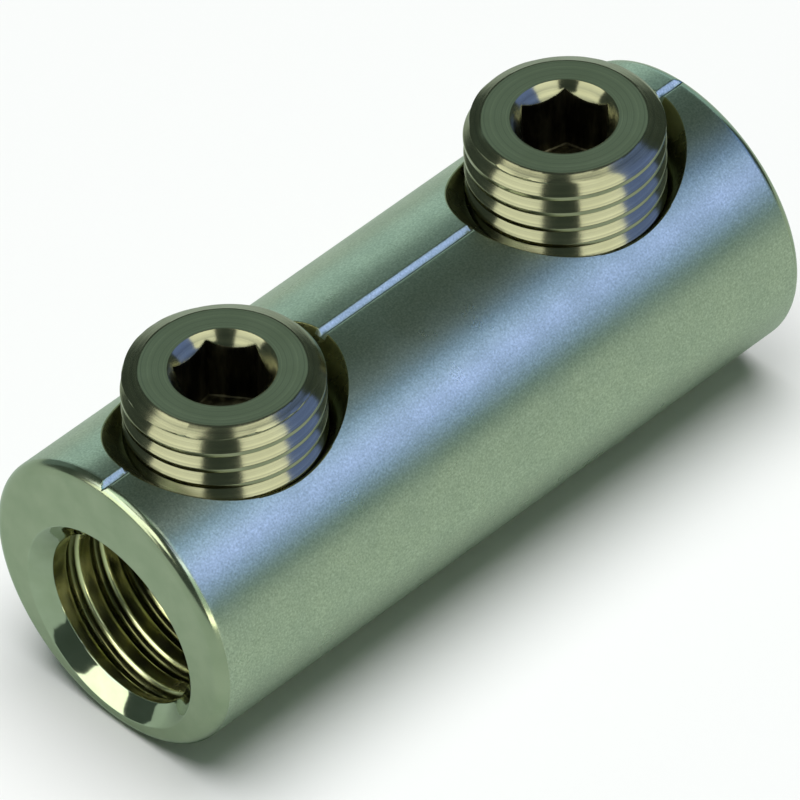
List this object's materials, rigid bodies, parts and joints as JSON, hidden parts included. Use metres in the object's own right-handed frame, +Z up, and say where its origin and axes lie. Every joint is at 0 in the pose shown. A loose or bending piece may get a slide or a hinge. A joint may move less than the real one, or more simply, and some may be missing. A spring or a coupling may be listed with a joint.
{
  "type": "two-screw mechanical butt connector for conductors",
  "caption": "Round metal barrel that joins two conductors end to end, each held by a socket set screw over a blind, eccentric, internally threaded bore.",
  "frame": {"origin": "middle of the barrel on its own axis, halfway between the two end faces", "axes": "+X along the barrel towards the end with the higher screw, +Z up along the screws, +Y across"},
  "size_m": [0.048, 0.0192, 0.0227],
  "materials": {
    "barrel_metal": "tin plated brass, satin with a fine drawn grain",
    "screw_metal": "nickel plated brass, turned, with bright thread crests"
  },
  "bodies": {
    "barrel": {"barrel": "barrel_metal"},
    "clamp_screw_a": {"clamp_screw_a": "screw_metal"},
    "clamp_screw_b": {"clamp_screw_b": "screw_metal"}
  },
  "joints": [
    {"name": "clamp_screw_a_drive", "type": "slide", "parent": "barrel", "child": "clamp_screw_a", "axis": [0, 0, -1], "range_m": [-0.00125, 0.01]},
    {"name": "clamp_screw_b_drive", "type": "slide", "parent": "barrel", "child": "clamp_screw_b", "axis": [0, 0, -1], "range_m": [0, 0.01]}
  ]
}
